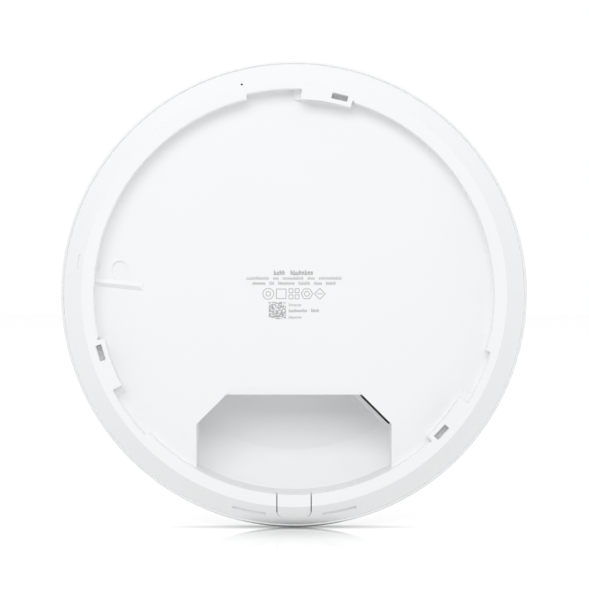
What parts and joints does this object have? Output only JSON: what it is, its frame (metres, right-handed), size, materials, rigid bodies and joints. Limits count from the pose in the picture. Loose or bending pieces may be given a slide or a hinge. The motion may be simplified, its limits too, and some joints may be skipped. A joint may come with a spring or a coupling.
{
  "type": "ceiling access point",
  "caption": "Round white ceiling access point with a domed cover, a bayonet bracket recess, a cable bay with a network jack and a pull-off cable exit tab.",
  "frame": {"origin": "centre of the ceiling face, in the plane of the flat rim", "axes": "-Y faces the ceiling or wall, +Y points out of the dome, +Z points away from the cable exit, +X is to the right seen from the ceiling side"},
  "size_m": [0.206, 0.046, 0.206],
  "materials": {
    "white_housing": "satin moulded polycarbonate",
    "white_cover": "fine satin moulded polycarbonate",
    "light_guide": "translucent",
    "grey_plastic": "moulded",
    "black_plastic": "moulded",
    "board_green": "solder mask on glass epoxy",
    "chip_black": "moulded package",
    "led_lens": "clear resin",
    "pad_grey": "soft silicone",
    "aluminium": "bare",
    "ferrite": "matt",
    "capacitor_can": "drawn can",
    "transformer_tape": "yellow tape over windings",
    "tin_steel": "tin or zinc plated",
    "gold_contact": "gold-plated strip",
    "bronze": "turned",
    "copper_coil": "enamelled copper on steel"
  },
  "bodies": {
    "device": {"rear_housing": "white_housing", "front_cover": "white_cover", "centre_cap": "white_cover", "light_ring": "light_guide", "light_carrier": "grey_plastic", "light_board": "board_green", "status_leds": "led_lens", "main_board": "board_green", "processor": "chip_black", "radio_chips": "chip_black", "memory_chips": "chip_black", "thermal_pads": "pad_grey", "heat_sink": "aluminium", "power_inductors": "ferrite", "power_capacitors": "capacitor_can", "power_transformer": "transformer_tape", "lan_transformer": "chip_black", "board_shields": "tin_steel", "ethernet_jack": "black_plastic", "jack_contacts": "gold_contact", "fan_housing": "black_plastic", "fan_cover": "black_plastic", "fan_bearing": "bronze", "fan_stator": "copper_coil", "fan_screws": "tin_steel", "antenna_plate": "aluminium", "antennas_2g": "gold_contact", "antennas_5g": "gold_contact", "antennas_6g": "gold_contact", "reset_board": "board_green", "reset_header": "black_plastic", "reset_switch": "grey_plastic", "board_spacers": "bronze", "board_screws": "tin_steel"},
    "fan_wheel": {"fan_rotor": "black_plastic", "fan_shaft": "tin_steel", "fan_magnet": "ferrite"},
    "exit_tab": {"cable_exit_tab": "white_housing"},
    "reset_plunger": {"reset_button": "black_plastic"}
  },
  "joints": [
    {"name": "fan_spin", "type": "hinge", "parent": "device", "child": "fan_wheel", "pos_m": [-0.046, 0, 0.008], "axis": [0, 1, 0], "continuous": true},
    {"name": "exit_tab_pull", "type": "slide", "parent": "device", "child": "exit_tab", "axis": [0, -1, 0], "range_m": [0, 0.012]},
    {"name": "reset_press", "type": "slide", "parent": "device", "child": "reset_plunger", "axis": [0, 1, 0], "range_m": [0, 0.0003], "stiffness_N_per_m": 2000}
  ]
}
